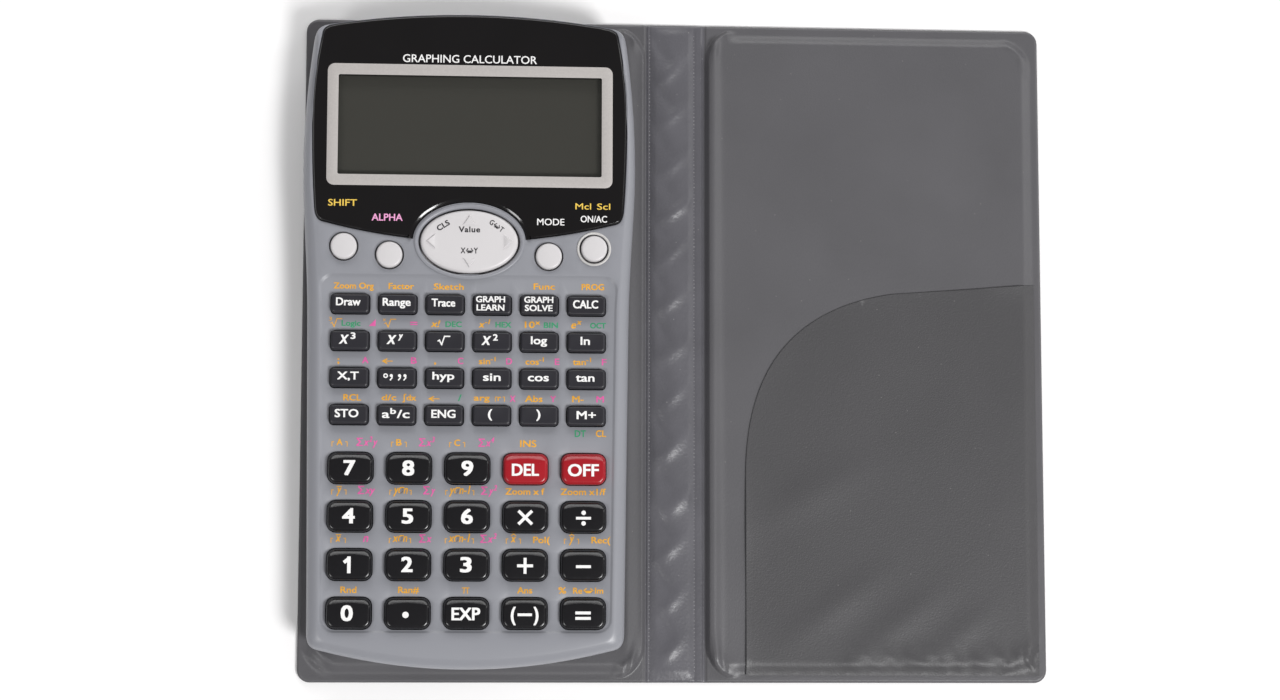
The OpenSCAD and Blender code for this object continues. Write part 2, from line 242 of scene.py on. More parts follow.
def case_outline(inset):
    return mirrored(case_right(inset))


def rim_share(y):
    """How wide the case's upper rim is, as a share: narrow beside the display, and hardly there above it."""
    if y < 24:
        return 1
    if y < 36:
        return 1 - 0.3 * (y - 24) / 12
    if y < 60:
        return 0.7
    if y < 70:
        return 0.7 - 0.2 * (y - 60) / 10
    return max(0.13, 0.5 - 0.37 * (y - 70) / 2.5)


def rim_outline(inset):
    outer = case_outline(0)
    inner = case_outline(1)
    return [(x + (u - x) * inset * rim_share(y), y + (v - y) * inset * rim_share(y))
            for (x, y), (u, v) in zip(outer, inner)]


def case_side(y):
    """Half of the case's width at a height on its face."""
    right = [p for p in case_right(0) if abs(p[1]) < 73]
    for (x0, y0), (x1, y1) in zip(right, right[1:]):
        if y1 <= y <= y0:
            return x0 + (x1 - x0) * (y0 - y) / (y0 - y1)
    raise ValueError(y)


def field_outline(inset, top=14.8, bottom=-68.6, corner=3.2):
    """The sunk keypad field: it follows the case's sides."""
    top -= inset
    bottom += inset
    radius = corner - 0.6 * inset

    def side(y):
        return case_side(y) - 3.0 - inset

    right = [((side(top) - radius) * (i + 0.5) / 8, top) for i in range(8)]
    for i in range(7):
        angle = math.radians(90 - 15 * i)
        right.append((side(top) - radius + radius * math.cos(angle), top - radius + radius * math.sin(angle)))
    for i in range(1, 16):
        y = top - radius + (bottom - top + 2 * radius) * i / 16
        right.append((side(y), y))
    for i in range(7):
        angle = math.radians(-15 * i)
        right.append((side(bottom) - radius + radius * math.cos(angle),
                      bottom + radius + radius * math.sin(angle)))
    right += [((side(bottom) - radius) * (7.5 - i) / 8, bottom) for i in range(8)]
    return mirrored(right)


def lower_edge(x):
    """The display panel's lower edge on both sides of the pad."""
    return PAD_Y + 0.1 + x * x / BOTTOM_BOW


def panel_outline(grow, arch_grow=None):
    """The display panel follows the case, and an arch is cut into it for the cursor pad."""
    cut = grow if arch_grow is None else arch_grow
    side = CASE_HALF - 2.15 + grow
    corner = (side - 0.75, 30)
    count = 12
    arch = [31.8 * (i + 0.5) / count for i in range(count)]
    right = [(x, top_arch(x) - 0.45 + grow) for x in arch]
    runs = [
        (0, 6, [(32.6 + grow, top_arch(32.6) - 0.5 + grow), (33.8 + grow, 73.4 + grow),
                (34.4 + grow, 73 + grow), (34.7 + grow, 72)]),
        (1, 8, [(34.7 + grow, 72), (35.7 + grow, 67), (side, 60), (side, 52)]),
        (1, 8, [(side, 52), (side, 44), (side - 0.25, 37), corner]),
        (1, 7, [corner, (corner[0] - 0.2, 28.4), (corner[0] - 0.7, lower_edge(35) - grow),
                (34.2, lower_edge(34.2) - grow)]),
    ]
    for first, steps, curve in runs:
        right += [bezier(curve, i / steps) for i in range(first, steps + 1)]
    right += [(x, lower_edge(x) - grow) for x in [14 + 1.7 * i for i in range(10, -1, -1)]]
    for i in range(1, 27):
        angle = math.radians(3.3 * i)
        right.append(((PAD_HALF[0] + 1.9 - cut) * math.cos(angle),
                      PAD_Y + (PAD_HALF[1] + 2 - cut) * math.sin(angle)))
    return mirrored(right)


def rounded(w, h, r, x=0.0, y=0.0, steps=5, side=4):
    """A rectangle with round corners, with points along its sides too."""
    points = []
    corners = [(1, 1), (-1, 1), (-1, -1), (1, -1)]
    for k, (sx, sy) in enumerate(corners):
        for i in range(steps + 1):
            angle = math.pi / 2 * (k + i / steps)
            points.append((x + sx * (w / 2 - r) + r * math.cos(angle),
                           y + sy * (h / 2 - r) + r * math.sin(angle)))
        nx, ny = corners[(k + 1) % 4]
        angle = math.pi / 2 * (k + 1)
        start = (sx * (w / 2 - r) + r * math.cos(angle), sy * (h / 2 - r) + r * math.sin(angle))
        end = (nx * (w / 2 - r) + r * math.cos(angle), ny * (h / 2 - r) + r * math.sin(angle))
        for i in range(1, side + 1):
            t = i / (side + 1)
            points.append((x + start[0] + (end[0] - start[0]) * t, y + start[1] + (end[1] - start[1]) * t))
    return points


def ellipse(a, b, x=0.0, y=0.0, count=48):
    turns = [2 * math.pi * i / count for i in range(count)]
    return [(x + a * math.cos(turn), y + b * math.sin(turn)) for turn in turns]


def triangle(x, y, w, h, turn):
    """An arrowhead with its middle at (x, y), pointing up before it is turned."""
    c = math.cos(math.radians(turn))
    s = math.sin(math.radians(turn))
    corners = [(0, h / 2), (-w / 2, -h / 2), (w / 2, -h / 2)]
    return [(x + u * c - v * s, y + u * s + v * c) for u, v in corners]


def inside(x, y, polygon):
    hit = False
    previous = polygon[-1]
    for point in polygon:
        if (point[1] > y) != (previous[1] > y):
            if x < (previous[0] - point[0]) * (y - point[1]) / (previous[1] - point[1]) + point[0]:
                hit = not hit
        previous = point
    return hit


# ---- Meshes ----

class Shape:
    """A mesh in the making: rings of points, the skins between them and the patches that fill them."""

    def __init__(self, x=0.0, y=0.0):
        self.origin = (x, y)
        self.points = []
        self.faces = []

    def ring(self, outline, height):
        """Adds a ring of points at a height, or at a height that depends on x and y."""
        first = len(self.points)
        for x, y in outline:
            self.points.append((x, y, height(x, y) if callable(height) else height))
        return list(range(first, len(self.points)))

    def skin(self, *rings):
        """Joins rings of equal length, each to the next. Going up, the skin faces outwards."""
        for low, high in zip(rings, rings[1:]):
            count = len(low)
            for i in range(count):
                j = (i + 1) % count
                self.faces.append((low[i], low[j], high[j], high[i]))

    def patch(self, outer, height, holes=(), lines=(), dots=(), down=False):
        """Fills a ring but for the rings in its holes, through more lines and dots at their own heights."""
        flat = []
        known = []
        edges = []
        for ring in (outer, *holes):
            first = len(flat)
            for i in ring:
                flat.append(Vector(self.points[i][:2]))
                known.append(i)
            edges += [(first + k, first + (k + 1) % len(ring)) for k in range(len(ring))]
        for line in lines:
            first = len(flat)
            flat += [Vector(p) for p in line]
            known += [None] * len(line)
            edges += [(first + k, first + k + 1) for k in range(len(line) - 1)]
        flat += [Vector(p) for p in dots]
        known += [None] * len(dots)
        places, _, triangles, sources = delaunay_2d_cdt(flat, edges, [], 0, 1e-6, True)[:4]
        border = [self.points[i][:2] for i in outer]
        voids = []
        for ring in holes:
            polygon = [self.points[i][:2] for i in ring]
            xs = [p[0] for p in polygon]
            ys = [p[1] for p in polygon]
            voids.append((min(xs), max(xs), min(ys), max(ys), polygon))
        index = {}

        def vertex(k):
            if k not in index:
                kept = [known[s] for s in sources[k] if known[s] is not None]
                if kept:
                    index[k] = kept[0]
                else:
                    x, y = places[k]
                    self.points.append((x, y, height(x, y) if callable(height) else height))
                    index[k] = len(self.points) - 1
            return index[k]

        for a, b, c in triangles:
            x = (places[a].x + places[b].x + places[c].x) / 3
            y = (places[a].y + places[b].y + places[c].y) / 3
            if not inside(x, y, border):
                continue
            if any(x0 < x < x1 and y0 < y < y1 and inside(x, y, p) for x0, x1, y0, y1, p in voids):
                continue
            face = (vertex(a), vertex(b), vertex(c))
            self.faces.append(face[::-1] if down else face)

    def lathe(self, profile, x, y, count=48):
        """A closed profile of (radius, height) points, anticlockwise, turned about an upright axis."""
        rings = [self.ring(ellipse(r, r, x, y, count), z) for r, z in profile]
        self.skin(*rings, rings[0])

    def add(self, points, faces):
        first = len(self.points)
        self.points += points
        self.faces += [tuple(first + i for i in face) for face in faces]

    def make(self, name, finish, slot, sharp=38):
        mesh = bpy.data.meshes.new(name)
        ox, oy = self.origin
        mesh.from_pydata([((x + ox) * MM, (y + oy) * MM, z * MM) for x, y, z in self.points], [], self.faces)
        mesh.validate()
        mesh.materials.append(finish)
        mesh.polygons.foreach_set("use_smooth", [True] * len(mesh.polygons))
        mesh.set_sharp_from_angle(angle=math.radians(sharp))
        piece = bpy.data.objects.new(name, mesh)
        bpy.context.scene.collection.objects.link(piece)
        return piece


def on_case():
    """A shape in the calculator's own frame, with its middle at (0, 0)."""
    return Shape(CASE_X, CASE_Y)


def centre(node):
    low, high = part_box(node)
    return ((low.x + high.x) / 2 / MM - CASE_X, (low.y + high.y) / 2 / MM - CASE_Y)


# ---- Keys and what is printed on and above them ----

FUNCTION_KEYS = ["draw", "range", "trace", "learn", "solve", "calc", "cube", "power", "root", "square", "log",
                 "ln", "xt", "dms", "hyp", "sin", "cos", "tan", "sto", "fraction", "eng", "open", "close",
                 "mplus"]
NUMBER_KEYS = ["7", "8", "9", "del", "off", "4", "5", "6", "times", "divide", "1", "2", "3", "plus", "minus",
               "0", "point", "exp", "negative", "equals"]
BUTTONS = ["shift", "alpha", "mode", "on"]
CENTRES = {name: centre("key_" + name) for name in FUNCTION_KEYS + NUMBER_KEYS + BUTTONS}


def build_case():
    shell = on_case()
    lower = [(0.5, SPLIT_Z), (0.3, 6.55), (0.12, 7.0), (0.02, 7.8), (0, 8.6)]
    upper = [(0.06, 9.3), (0.25, 9.85), (0.55, 10.3), (1.0, 10.75), (1.6, 11.15), (2.15, 11.45),
             (2.6, FACE_Z)]
    rings = [shell.ring(case_outline(inset), z) for inset, z in lower]
    rings += [shell.ring(rim_outline(inset), z) for inset, z in upper]
    shell.skin(*rings)

    # The holes through the face: for each, its upper edge and its lower edge at the deck's underside
    def hole(outline, surface, bevel=0.08):
        rims = [shell.ring(outline(bevel), surface), shell.ring(outline(bevel * 0.3), surface - bevel * 0.4),
                shell.ring(outline(0), surface - bevel), shell.ring(outline(0), DECK_Z)]
        shell.skin(*rims)
        return rims[0], rims[-1]

    def key_hole(name, size):
        x, y = CENTRES[name]
        w, h, r = size
        grown = lambda b: rounded(w + 2 * (KEY_GAP + b), h + 2 * (KEY_GAP + b), r + KEY_GAP + b, x, y)
        return hole(grown, FIELD_Z)

    key_holes = [key_hole(name, FUNCTION_CAP) for name in FUNCTION_KEYS]
    key_holes += [key_hole(name, NUMBER_CAP) for name in NUMBER_KEYS]
    button_holes = []
    for name in BUTTONS:
        x, y = CENTRES[name]
        grown = lambda b: ellipse(BUTTON_R + BUTTON_GAP + b, BUTTON_R + BUTTON_GAP + b, x, y)
        button_holes.append(hole(grown, FACE_Z))

    # The collar around the cursor pad stands a little proud of the face
    a, b = PAD_HALF
    collar = [(1.6, FACE_Z), (1.5, FACE_Z + 0.2), (1.3, FACE_Z + 0.33), (1.05, FACE_Z + 0.35),
              (0.75, FACE_Z + 0.26), (0.5, FACE_Z), (0.45, FACE_Z - 0.3), (0.45, DECK_Z)]
    collar_rings = [shell.ring(ellipse(a + grow, b + grow, 0, PAD_Y, 72), z) for grow, z in collar]
    shell.skin(*collar_rings)

    field = [shell.ring(field_outline(inset), z) for inset, z in
             [(0, FACE_Z), (0.15, FACE_Z - 0.06), (0.45, FIELD_Z + 0.1), (0.7, FIELD_Z)]]
    shell.skin(*field)
    recess = [shell.ring(panel_outline(grow), z) for grow, z in
              [(0.2, FACE_Z), (0.1, FACE_Z - 0.1), (0.1, RECESS_Z)]]
    shell.skin(*recess)
    opening = [shell.ring(rounded(WINDOW[0] + 3.6, WINDOW[1] + 3.6, 1, 0, WINDOW_Y), z)
               for z in (RECESS_Z, DECK_Z)]
    shell.skin(*opening)
    shell.patch(rings[-1], FACE_Z,
                holes=[field[0], recess[0], collar_rings[0]] + [top for top, _ in button_holes])
    shell.patch(field[-1], FIELD_Z, holes=[top for top, _ in key_holes])
    shell.patch(recess[-1], RECESS_Z, holes=[opening[0]])

    inner = [shell.ring(case_outline(WALL), z) for z in (DECK_Z, SPLIT_Z)]
    shell.patch(inner[0], DECK_Z, down=True,
                holes=[low for _, low in key_holes + button_holes] + [collar_rings[-1], opening[-1]])
    shell.skin(*inner, rings[0])
    for x, y in [(-28, 69.5), (28, 69.5), (-27, -23.5), (27, -23.5), (-27, -69.8), (27, -69.8)]:
        shell.lathe([(0.8, 3.05), (1.6, 3.05), (1.6, DECK_Z + 0.05), (0.8, DECK_Z + 0.05)], x, y, 20)
    piece = shell.make("front_shell", case_plastic, "case_plastic", sharp=50)
    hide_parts("front_case")
    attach(piece, "calculator")

    x, y = CENTRES["on"]
    ring = on_case()
    ring.lathe([(3.42, 11.5), (4.02, 11.5), (4.02, 11.72), (3.94, 11.87), (3.78, 11.94), (3.62, 11.9),
                (3.48, 11.78), (3.42, 11.6)], x, y, 56)
    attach(ring.make("on_ring", rim_plastic, "case_plastic", sharp=80), "calculator")


def build_display():
    panel = on_case()
    # How far each ring grows, how far it grows along the arch, and its height
    edge = [(0, 0, RECESS_Z), (0, 0, 11.4), (-0.06, -0.1, 11.65), (-0.18, -0.35, 11.82),
            (-0.23, -0.45, 11.87), (-0.35, -0.8, 12.05), (-0.4, -0.95, PANEL_Z), (-0.55, -1.1, PANEL_Z)]
    rings = [panel.ring(panel_outline(grow, cut), z) for grow, cut, z in edge]
    panel.skin(*rings)
    gap = [panel.ring(rounded(*WINDOW, 0.4, 0, WINDOW_Y), z) for z in (PANEL_Z, RECESS_Z)]
    panel.skin(*gap)
    panel.patch(rings[-1], PANEL_Z, holes=[gap[0]])
    panel.patch(rings[0], RECESS_Z, holes=[gap[1]], down=True)
    piece = panel.make("display_fascia", panel_black, "display_black", sharp=50)
    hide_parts("display_panel")
    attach(piece, "calculator")

    lens = on_case()
    lens_low = 11.5
    lens_high = PANEL_Z - 0.02
    profile = [(0.03, lens_low), (0.03, PANEL_Z - 0.1), (0.12, lens_high)]
    rings = [lens.ring(rounded(WINDOW[0] - 2 * t, WINDOW[1] - 2 * t, 0.4, 0, WINDOW_Y), z)
             for t, z in profile]
    lens.skin(*rings)
    lens.patch(rings[-1], lens_high)
    lens.patch(rings[0], lens_low, down=True)
    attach(lens.make("window_lens", lens_clear, "window_lens"), "calculator")

    border = on_case()
    outer = [(66.9, 28.9, 1.7), (66.9, 28.9, 1.7), (66.7, 28.7, 1.6)]
    inner = [(62.0, 23.9, 0.45), (61.8, 23.7, 0.4), (61.8, 23.7, 0.4)]
    heights = [PANEL_Z - 0.02, PANEL_Z + 0.05, PANEL_Z + 0.09]
    sizes = list(zip(outer, heights)) + list(zip(inner, heights[::-1]))
    rings = [border.ring(rounded(w, h, r, 0, WINDOW_Y, side=8), z) for (w, h, r), z in sizes]
    border.skin(*rings, rings[0])
    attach(border.make("window_border", frame_silver, "frame_silver"), "calculator")


def build_key(name, outline, top, edge, finish, slot, lines=(), dots=(), embossed=()):
    """A key: a flange, a stem and a crown that rounds over to its top. Its edge is a list of (inset, drop)
    pairs, going up. What is embossed is (outer outline, inner outline, rise) for each mark."""
    node = "cursor_pad" if name == "cursor" else "key_" + name
    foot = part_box(node)[0].z / MM
    key = on_case()
    rings = [key.ring(outline(-FLANGE), foot), key.ring(outline(-FLANGE), foot + 1)]
    rings.append(key.ring(outline(0), foot + 1))
    rings += [key.ring(outline(inset), lambda x, y: top(x, y) - drop) for inset, drop in edge]
    key.skin(*rings)
    raised = []
    for low, high, rise in embossed:
        base = key.ring(low, top)
        crown = key.ring(high, lambda x, y: top(x, y) + rise)
        key.skin(base, crown)
        key.patch(crown, top)
        raised.append(base)
    key.patch(rings[-1], top, holes=raised, lines=lines, dots=dots)
    key.patch(rings[0], foot, down=True)
    piece = key.make("cap_" + name, finish, slot, sharp=44)
    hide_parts(node)
    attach(piece, node)


def function_top(name):
    """The middle of a function key is very slightly dished."""
    x0, y0 = CENTRES[name]
    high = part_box("key_" + name)[1].z / MM
    w, h, _ = FUNCTION_CAP

    def top(x, y):
        u = min(1, abs(x - x0) / (w / 2 - 0.6))
        v = min(1, abs(y - y0) / (h / 2 - 0.6))
        return high - 0.1 * (1 - u * u) * (1 - v * v)
    return top


def crease_line(x0, y0, offset, x):
    """The arched crease across a number key, where its rear facet begins."""
    w, h, _ = NUMBER_CAP
    u = (x - x0) / (w / 2)
    return y0 + h * (0.30 - 0.09 * u * u) + offset


def number_top(name):
    x0, y0 = CENTRES[name]
    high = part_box("key_" + name)[1].z / MM
    soft = 0.22
    slope = 0.5

    def top(x, y):
        beyond = y - crease_line(x0, y0, 0, x)
        if beyond > soft:
            return high - slope * beyond
        if beyond > -soft:
            return high - slope * (beyond + soft) ** 2 / (4 * soft)
        return high
    return top


def build_keys():
    w, h, r = FUNCTION_CAP
    edge = [(0, 0.62), (0.05, 0.42), (0.13, 0.22), (0.26, 0.08), (0.46, 0), (0.62, 0.0)]
    for name in FUNCTION_KEYS:
        x0, y0 = CENTRES[name]
        outline = lambda t: rounded(w - 2 * t, h - 2 * t, max(0.25, r - 0.5 * t), x0, y0)
        dots = [(x0 + 0.8 * i, y0 + 0.7 * j) for i in range(-4, 5) for j in range(-2, 3)]
        build_key(name, outline, function_top(name), edge, function_plastic, "function_plastic", dots=dots)

    w, h, r = NUMBER_CAP
    edge = [(0, 0.85), (0.06, 0.6), (0.18, 0.34), (0.38, 0.13), (0.62, 0.03), (0.85, 0)]
    for name in NUMBER_KEYS:
        x0, y0 = CENTRES[name]
        outline = lambda t: rounded(w - 2 * t, h - 2 * t, max(0.4, r - 0.7 * t), x0, y0, steps=7, side=5)
        across = [x0 + (w / 2 - 0.9) * i / 8 for i in range(-8, 9)]
        lines = [[(x, crease_line(x0, y0, offset, x)) for x in across]
                 for offset in (-0.22, -0.08, 0.08, 0.22)]
        red = name in ("del", "off")
        finish, slot = (red_plastic, "red_plastic") if red else (number_plastic, "number_plastic")
        build_key(name, outline, number_top(name), edge, finish, slot, lines=lines)

    edge = [(0, 0.5), (0.05, 0.3), (0.15, 0.14), (0.32, 0.03), (0.55, 0)]
    for name in BUTTONS:
        x0, y0 = CENTRES[name]
        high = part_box("key_" + name)[1].z / MM
        outline = lambda t: ellipse(BUTTON_R - t, BUTTON_R - t, x0, y0, 40)
        build_key(name, outline,
                  lambda x, y: high - 0.15 * ((x - x0) ** 2 + (y - y0) ** 2) / BUTTON_R ** 2,
                  edge, button_white, "button_white", dots=[(x0, y0)])


# The middle of the pad's dome, which is below the tops of the four arrowheads
PAD_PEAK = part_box("cursor_pad")[1].z / MM - 0.22


def pad_top(x, y):
    """The cursor pad is a shallow dome."""
    a, b = PAD_HALF
    return PAD_PEAK - 0.35 * ((x / a) ** 2 + ((y - PAD_Y) / b) ** 2)


def build_cursor_pad():
    a, b = PAD_HALF
    edge = [(0, 0.75), (0.05, 0.5), (0.2, 0.24), (0.45, 0.07), (0.8, 0)]
    arrows = []
    for x, y, w, h, turn in [(0, 5.05, 3.3, 2.5, 0), (0, -5.05, 3.3, 2.5, 180), (-9.0, 0, 3.9, 2.4, 90),
                             (9.0, 0, 3.9, 2.4, 270)]:
        foot = triangle(x, PAD_Y + y, w, h, turn)
        crest = triangle(x, PAD_Y + y, w * 0.6, h * 0.6, turn)
        arrows.append((foot, crest, 0.34))
    dots = [(x, PAD_Y + y) for x in range(-10, 11) for y in range(-6, 7)
            if (x / 10.4) ** 2 + (y / 6.4) ** 2 < 1]
    build_key("cursor", lambda t: ellipse(a - t, b - t, 0, PAD_Y, 72), pad_top, edge, button_white,
              "button_white", dots=dots, embossed=arrows)


# ---- Lettering ----

# The font's capital height as a share of its size, the ink's thickness, and the height from one layer of
# ink to the next, which keeps crossing strokes apart
CAP_SHARE = 0.682
INK_T = 0.03
INK_STEP = 0.0015
# The gap after each run of letters, and a raised run's size and lift, as shares of the capital height
RUN_GAP = 0.1
RAISED_SIZE = 0.72
RAISED_LIFT = 0.5


def typeset(text, cap, slant=0.0, spacing=1.0):
    """The points and faces of thin raised letters, with their left end at x = 0, and their width."""
    curve = bpy.data.curves.new("letters", "FONT")
    curve.body = text
    curve.size = cap / CAP_SHARE
    curve.shear = slant
    curve.space_character = spacing
    curve.extrude = INK_T / 2
    curve.resolution_u = 3
    holder = bpy.data.objects.new("letters", curve)
    mesh = bpy.data.meshes.new_from_object(holder)
    points = [tuple(v.co) for v in mesh.vertices]
    faces = [tuple(p.vertices) for p in mesh.polygons]
    bpy.data.objects.remove(holder)
    bpy.data.curves.remove(curve)
    bpy.data.meshes.remove(mesh)
    left = min(p[0] for p in points)
    right = max(p[0] for p in points)
    return [(x - left, y, z) for x, y, z in points], faces, right - left


def box_stroke(x0, y0, x1, y1, width):
    """A straight stroke from one point to another, as a thin block."""
    length = math.hypot(x1 - x0, y1 - y0)
    ux, uy = (x1 - x0) / length * width / 2, (y1 - y0) / length * width / 2
    corners = [(x0 - ux + uy, y0 - uy - ux), (x1 + ux + uy, y1 + uy - ux), (x1 + ux - uy, y1 + uy + ux),
               (x0 - ux - uy, y0 - uy + ux)]
    points = [(x, y, z) for z in (-INK_T / 2, INK_T / 2) for x, y in corners]
    faces = [(3, 2, 1, 0), (4, 5, 6, 7)] + [(i, (i + 1) % 4, 4 + (i + 1) % 4, 4 + i) for i in range(4)]
    return points, faces


def write(shape, text, x, y, cap, surface, width=None, turn=0.0, bold=0.0, slant=0.0, spacing=1.0):
    """Writes one line with its middle at x and its foot at y, on a surface. A ^ starts or ends a raised
    run. Bold letters are thickened by that many millimetres each way, with shifted copies in layers."""
    runs = []
    pen = 0.0
    for k, part in enumerate(text.split("^")):
        if not part:
            continue
        size, lift = (cap * RAISED_SIZE, cap * RAISED_LIFT) if k % 2 else (cap, 0)
        points, faces, run = typeset(part, size - 1.3 * bold, slant, spacing)
        runs.append(([(px + pen, py + lift, pz) for px, py, pz in points], faces))
        pen += run + cap * RUN_GAP
    pen -= cap * RUN_GAP
    stretch = (width - 2 * bold) / pen if width else 1
    tall = 0.65 * bold
    shifts = [(-bold, -tall), (-bold, tall), (bold, -tall), (bold, tall)] if bold else [(0, 0)]
    if bold > 0.1:
        shifts += [(0, 0), (-bold, 0), (bold, 0)]
    c = math.cos(math.radians(turn))
    s = math.sin(math.radians(turn))
    for layer, (dx, dy) in enumerate(shifts):
        for points, faces in runs:
            placed = []
            for px, py, pz in points:
                u = (px - pen / 2) * stretch + dx
                v = py + tall + dy
                gx = x + u * c - v * s
                gy = y + u * s + v * c
                placed.append((gx, gy, surface(gx, gy) + INK_T / 2 + pz + INK_STEP * layer))
            shape.add(placed, faces)


def stroke(shape, points, width, surface, layer=0):
    """Draws straight strokes from point to point, each one layer above the one before."""
    for k, ((x0, y0), (x1, y1)) in enumerate(zip(points, points[1:]), layer):
        placed, faces = box_stroke(x0, y0, x1, y1, width)
        shape.add([(x, y, surface(x, y) + INK_T / 2 + z + INK_STEP * k) for x, y, z in placed], faces)


# A key's own legend: its text, capital height and width, and how far it is from the key's middle
LEGENDS = {
    "draw": ("Draw", 1.85, 5.7, -0.45, -0.5), "range": ("Range", 1.85, 6.5, -0.25, -0.5),
    "trace": ("Trace", 1.85, 5.5, -0.4, -0.55), "calc": ("CALC", 1.9, 5.9, -0.25, -0.65),
    "log": ("log", 1.85, 3.8, -0.1, -0.55), "ln": ("ln", 1.9, 2.2, -0.3, -0.6),
    "xt": ("X,T", 1.85, 5.0, -0.3, -0.55), "hyp": ("hyp", 1.8, 5.1, -0.25, -0.4),
    "sin": ("sin", 1.85, 4.1, 0, -0.6), "cos": ("cos", 1.85, 4.9, -0.2, -0.6),
    "tan": ("tan", 1.85, 4.4, -0.3, -0.6), "sto": ("STO", 1.9, 5.5, -0.5, -0.7),
    "fraction": ("a^b^/c", 1.9, 6.4, -0.15, -0.8), "eng": ("ENG", 1.9, 5.6, -0.15, -0.7),
    "open": ("(", 2.0, 1.0, -0.35, -0.6), "close": (")", 2.0, 1.0, -0.15, -0.6),
    "mplus": ("M+", 1.9, 4.5, 0.0, -0.75),
    "7": ("7", 3.5, 2.75, -0.2, -1.8), "8": ("8", 3.5, 2.8, -0.15, -1.8), "9": ("9", 3.5, 2.75, 0, -1.8),
    "del": ("DEL", 2.8, 6.3, -0.05, -1.7), "off": ("OFF", 2.85, 7.2, -0.1, -1.75),
    "4": ("4", 3.5, 2.9, -0.25, -1.75), "5": ("5", 3.5, 2.65, -0.2, -1.75), "6": ("6", 3.5, 2.75, 0, -1.75),
    "2": ("2", 3.5, 2.65, -0.2, -1.75), "3": ("3", 3.5, 2.7, -0.15, -1.75),
    "0": ("0", 3.6, 2.8, -0.35, -1.85), "exp": ("EXP", 2.9, 6.6, -0.05, -1.6),
}
# Legends drawn as strokes: how wide, and their lines. Then the round dots: their middles and radii.
STROKES = {
    "times": (0.7, [[(-1.35, -1.5), (1.3, 1.1)], [(-1.35, 1.1), (1.3, -1.5)]]),
    "divide": (0.62, [[(-1.45, -0.3), (1.4, -0.3)]]),
    "plus": (0.68, [[(-1.5, -0.2), (1.5, -0.2)], [(0, -1.7), (0, 1.3)]]),
    "minus": (0.66, [[(-1.4, -0.35), (1.4, -0.35)]]),
    "equals": (0.66, [[(-1.5, 0.15), (1.4, 0.15)], [(-1.5, -1.1), (1.4, -1.1)]]),
    "negative": (0.62, [[(-1.35, -0.3), (1.35, -0.3)]]),
    "1": (0.8, [[(0.0, -1.65), (0.0, 1.4)], [(-0.15, 1.2), (-0.85, 0.65)]]),
}
DISCS = {"point": [(-0.4, -0.4, 0.74)], "divide": [(0, 0.95, 0.52), (0, -1.5, 0.52)]}

